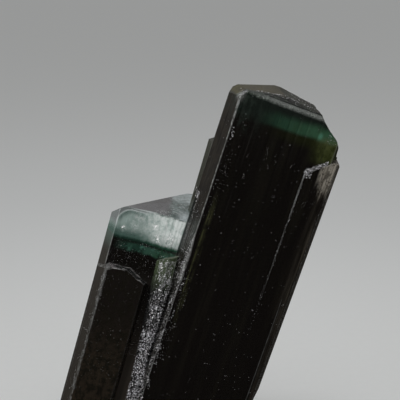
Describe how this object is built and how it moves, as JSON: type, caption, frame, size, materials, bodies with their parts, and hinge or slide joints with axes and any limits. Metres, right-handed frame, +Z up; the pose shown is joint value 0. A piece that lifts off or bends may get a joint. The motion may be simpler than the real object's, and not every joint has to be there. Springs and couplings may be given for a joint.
{
  "type": "tourmaline crystal",
  "caption": "Group of dark green tourmaline prisms grown side by side, with clear and teal banded tips, leaning and standing on a flat cut foot.",
  "frame": {"origin": "centre of the bounding box at the level of the flat cut foot", "axes": "+Z up, with the crystals' long axes leaning from it towards +X by about 17 degrees; -Y is the broad front face of the tall prism"},
  "size_m": [0.0334, 0.01, 0.0426],
  "materials": {
    "tourmaline": "glossy see-through crystal with fine striations along its length, near black in the body, teal and pale aqua at the tips"
  },
  "bodies": {
    "root": {"tourmaline_crystal": "tourmaline"}
  },
  "joints": []
}
